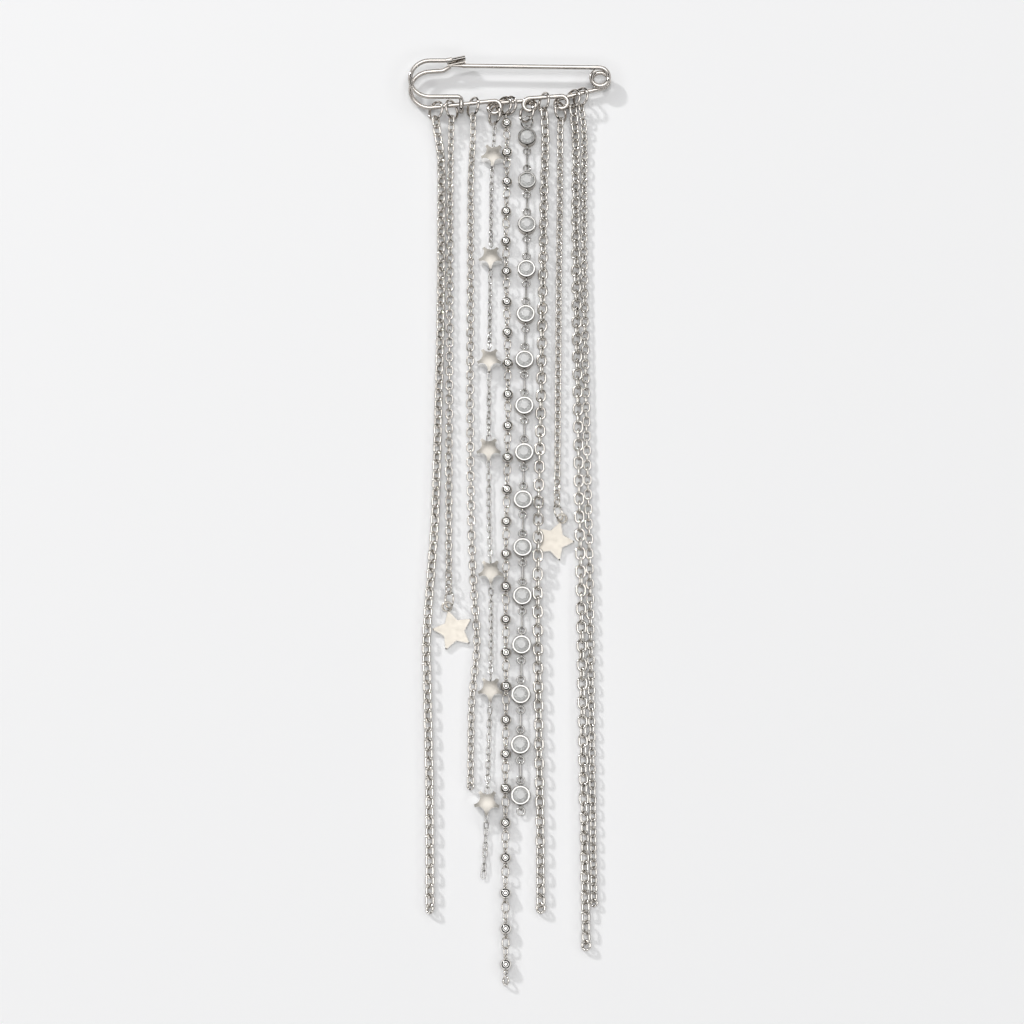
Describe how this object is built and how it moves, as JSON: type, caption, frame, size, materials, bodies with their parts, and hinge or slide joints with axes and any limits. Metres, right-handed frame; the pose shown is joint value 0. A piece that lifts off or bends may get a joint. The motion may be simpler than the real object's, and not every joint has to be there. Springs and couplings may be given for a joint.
{
  "type": "lapel chain",
  "caption": "Kilt-pin brooch with hanging chains: cable chains, a ball chain, a crystal chain, star beads and star charms on jump rings",
  "frame": {"origin": "middle of the piece's box in X and Y, on the surface that it lies on", "axes": "X runs along the pin from its round head to its spring coil, Y up the hanging chains towards the pin, Z away from the surface"},
  "size_m": [0.0494, 0.2218, 0.0049],
  "materials": {
    "pin_metal": "bright nickel-plated steel wire",
    "chain_metal": "polished silver-tone plating",
    "satin": "satin silver-tone plating with polished rims",
    "balls": "mirror-polished silver-tone balls",
    "crystal": "clear cut glass stone"
  },
  "bodies": {
    "pin": {"pin_frame": "pin_metal", "pin_front": "pin_metal", "pin_cap": "pin_metal", "jump_ring_a": "chain_metal", "jump_ring_b": "chain_metal", "jump_ring_c": "chain_metal", "jump_ring_d": "chain_metal", "jump_ring_e1": "chain_metal", "jump_ring_e2": "chain_metal", "jump_ring_f": "chain_metal", "jump_ring_g": "chain_metal", "jump_ring_h": "chain_metal", "jump_ring_i": "chain_metal", "jump_ring_j": "chain_metal", "chain_a": "chain_metal", "end_ring_a": "chain_metal", "strand_b": "chain_metal", "charm_ring_b": "chain_metal", "star_charm_b": "satin", "strand_c": "chain_metal", "end_ring_c": "chain_metal", "strand_d": "chain_metal", "star_bead_1": "satin", "star_bead_2": "satin", "star_bead_3": "satin", "star_bead_4": "satin", "star_bead_5": "satin", "star_bead_6": "satin", "star_bead_7": "satin", "strand_e": "chain_metal", "satellite_balls": "balls", "end_ring_e": "chain_metal", "crystal_cups": "chain_metal", "crystals": "crystal", "crystal_links": "chain_metal", "strand_g": "chain_metal", "end_ring_g": "chain_metal", "chain_h": "chain_metal", "charm_ring_h": "chain_metal", "star_charm_h": "satin", "strand_i": "chain_metal", "end_ring_i": "chain_metal", "strand_j": "chain_metal", "end_ring_j": "chain_metal"},
    "arm": {"pin_arm": "pin_metal"}
  },
  "joints": [
    {"name": "pin_arm", "type": "hinge", "parent": "pin", "child": "arm", "pos_m": [0.022, 0.10501, 0.00285], "axis": [0, 0, 1], "range_deg": [0, 8], "stiffness_Nm_per_rad": 0.3, "springref_deg": -11.46}
  ]
}
